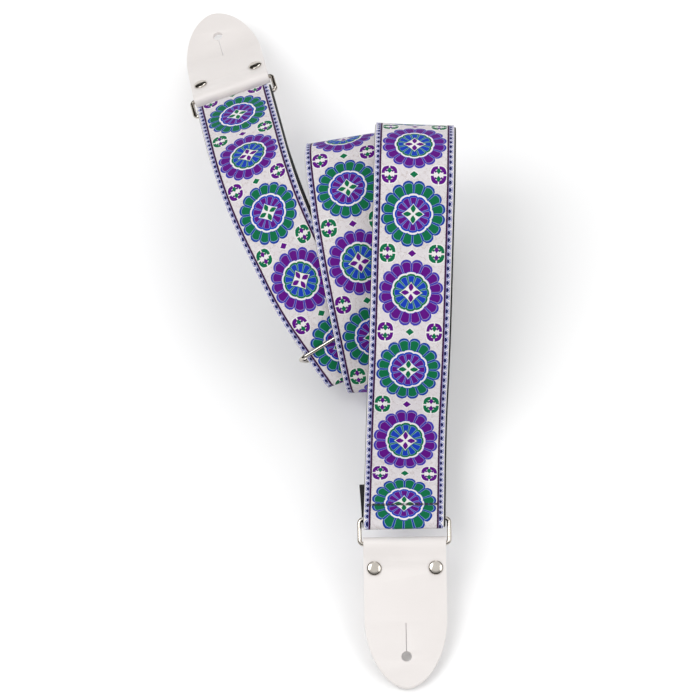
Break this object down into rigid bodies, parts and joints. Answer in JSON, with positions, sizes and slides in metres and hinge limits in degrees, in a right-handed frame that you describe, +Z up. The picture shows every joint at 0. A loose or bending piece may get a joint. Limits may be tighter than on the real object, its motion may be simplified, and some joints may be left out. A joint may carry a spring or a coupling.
{
  "type": "guitar strap",
  "caption": "Woven patterned guitar strap on black webbing, with leather button ends on rectangle rings and a length slide, laid in loose folds.",
  "frame": {"origin": "on the table, below the middle of the folded strap", "axes": "+Z up from the table, +Y from the front folds towards the back loops, +X to the right"},
  "size_m": [0.1757, 0.4877, 0.1419],
  "materials": {
    "ribbon": "woven jacquard",
    "webbing": "ribbed webbing",
    "thread": "sewing thread",
    "nickel": "polished nickel",
    "leather": "smooth white"
  },
  "bodies": {
    "strap": {"jacquard_ribbon": "ribbon", "backing_webbing": "webbing", "return_ribbon": "ribbon", "return_webbing": "webbing", "ribbon_edge_stitching": "thread", "lower_end_stitching": "thread"},
    "length_slide": {"length_slide": "nickel", "slide_loop_ribbon": "ribbon", "slide_loop_webbing": "webbing", "slide_loop_stitching": "thread"},
    "upper_ring": {"upper_ring": "nickel"},
    "upper_leather": {"upper_leather_end": "leather", "upper_rivet_posts": "nickel", "upper_rivet_caps": "nickel", "upper_rivet_backs": "nickel"},
    "lower_ring": {"lower_ring": "nickel"},
    "lower_leather": {"lower_leather_end": "leather", "lower_rivet_posts": "nickel", "lower_rivet_caps": "nickel", "lower_rivet_backs": "nickel"}
  },
  "joints": [
    {"name": "slide_travel", "type": "slide", "parent": "strap", "child": "length_slide", "axis": [-0.5489, 0.5316, 0.6451], "range_m": [-0.001, 0.006], "deforming": ["return_ribbon", "return_webbing"]},
    {"name": "upper_ring_swing", "type": "hinge", "parent": "strap", "child": "upper_ring", "pos_m": [-0.07029, 0.14633, 0.05584], "axis": [0.945, 0.263, 0.1945], "range_deg": [-45, 45]},
    {"name": "upper_leather_swing", "type": "hinge", "parent": "upper_ring", "child": "upper_leather", "pos_m": [-0.07327, 0.16055, 0.05107], "axis": [0.945, 0.263, 0.1945], "range_deg": [-60, 60]},
    {"name": "lower_ring_swing", "type": "hinge", "parent": "strap", "child": "lower_ring", "pos_m": [0.03757, -0.14845, 0.03992], "axis": [-0.9998, -0.0188, 0.0057], "range_deg": [-45, 45]},
    {"name": "lower_leather_swing", "type": "hinge", "parent": "lower_ring", "child": "lower_leather", "pos_m": [0.0378, -0.16236, 0.03355], "axis": [-0.9998, -0.0188, 0.0057], "range_deg": [-60, 60]}
  ]
}
